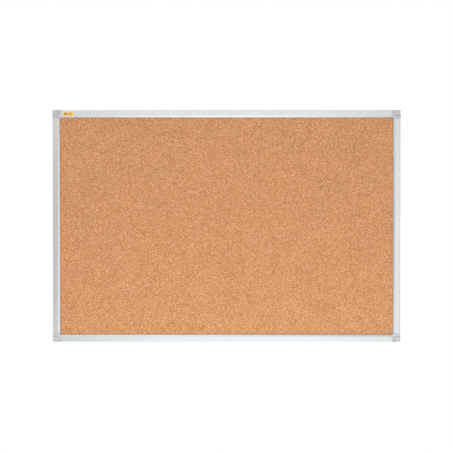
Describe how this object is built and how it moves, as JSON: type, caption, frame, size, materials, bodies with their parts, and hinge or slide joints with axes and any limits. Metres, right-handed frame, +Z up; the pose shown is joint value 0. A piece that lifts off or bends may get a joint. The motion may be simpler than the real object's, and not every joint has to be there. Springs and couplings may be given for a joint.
{
  "type": "cork bulletin board",
  "caption": "Wall-hung cork pin board in a slim silver aluminium frame, with grey moulded corner pieces whose rounded caps swing aside from the wall-screw holes.",
  "frame": {"origin": "centre of the four wall-screw holes, in the plane of the wall that the corner pieces rest on", "axes": "+Z up, +X to the right as seen from the front, +Y into the wall; the cork faces -Y"},
  "size_m": [0.9, 0.0185, 0.6],
  "materials": {
    "cork": "matte",
    "softboard": "matte",
    "backing": "matte",
    "rail_aluminium": "satin",
    "corner_plastic": "satin",
    "cap_plastic": "satin",
    "zinc_steel": "satin",
    "label_paper": "satin"
  },
  "bodies": {
    "board": {"cork_sheet": "cork", "softboard_core": "softboard", "backing_sheet": "backing", "label": "label_paper", "rail_bottom": "rail_aluminium", "rail_right": "rail_aluminium", "rail_top": "rail_aluminium", "rail_left": "rail_aluminium", "corner_bottom_left": "corner_plastic", "corner_bottom_right": "corner_plastic", "corner_top_right": "corner_plastic", "corner_top_left": "corner_plastic", "corner_screws_bottom_left": "zinc_steel", "corner_screws_bottom_right": "zinc_steel", "corner_screws_top_right": "zinc_steel", "corner_screws_top_left": "zinc_steel"},
    "cap_bottom_left": {"corner_cap_bottom_left": "cap_plastic"},
    "cap_bottom_right": {"corner_cap_bottom_right": "cap_plastic"},
    "cap_top_right": {"corner_cap_top_right": "cap_plastic"},
    "cap_top_left": {"corner_cap_top_left": "cap_plastic"}
  },
  "joints": [
    {"name": "cap_bottom_left_swing", "type": "hinge", "parent": "board", "child": "cap_bottom_left", "pos_m": [-0.4462, -0.0177, -0.2962], "axis": [0, -1, 0], "range_deg": [0, 120]},
    {"name": "cap_bottom_right_swing", "type": "hinge", "parent": "board", "child": "cap_bottom_right", "pos_m": [0.4462, -0.0177, -0.2962], "axis": [0, -1, 0], "range_deg": [0, 120]},
    {"name": "cap_top_right_swing", "type": "hinge", "parent": "board", "child": "cap_top_right", "pos_m": [0.4462, -0.0177, 0.2962], "axis": [0, -1, 0], "range_deg": [0, 120]},
    {"name": "cap_top_left_swing", "type": "hinge", "parent": "board", "child": "cap_top_left", "pos_m": [-0.4462, -0.0177, 0.2962], "axis": [0, -1, 0], "range_deg": [0, 120]}
  ]
}
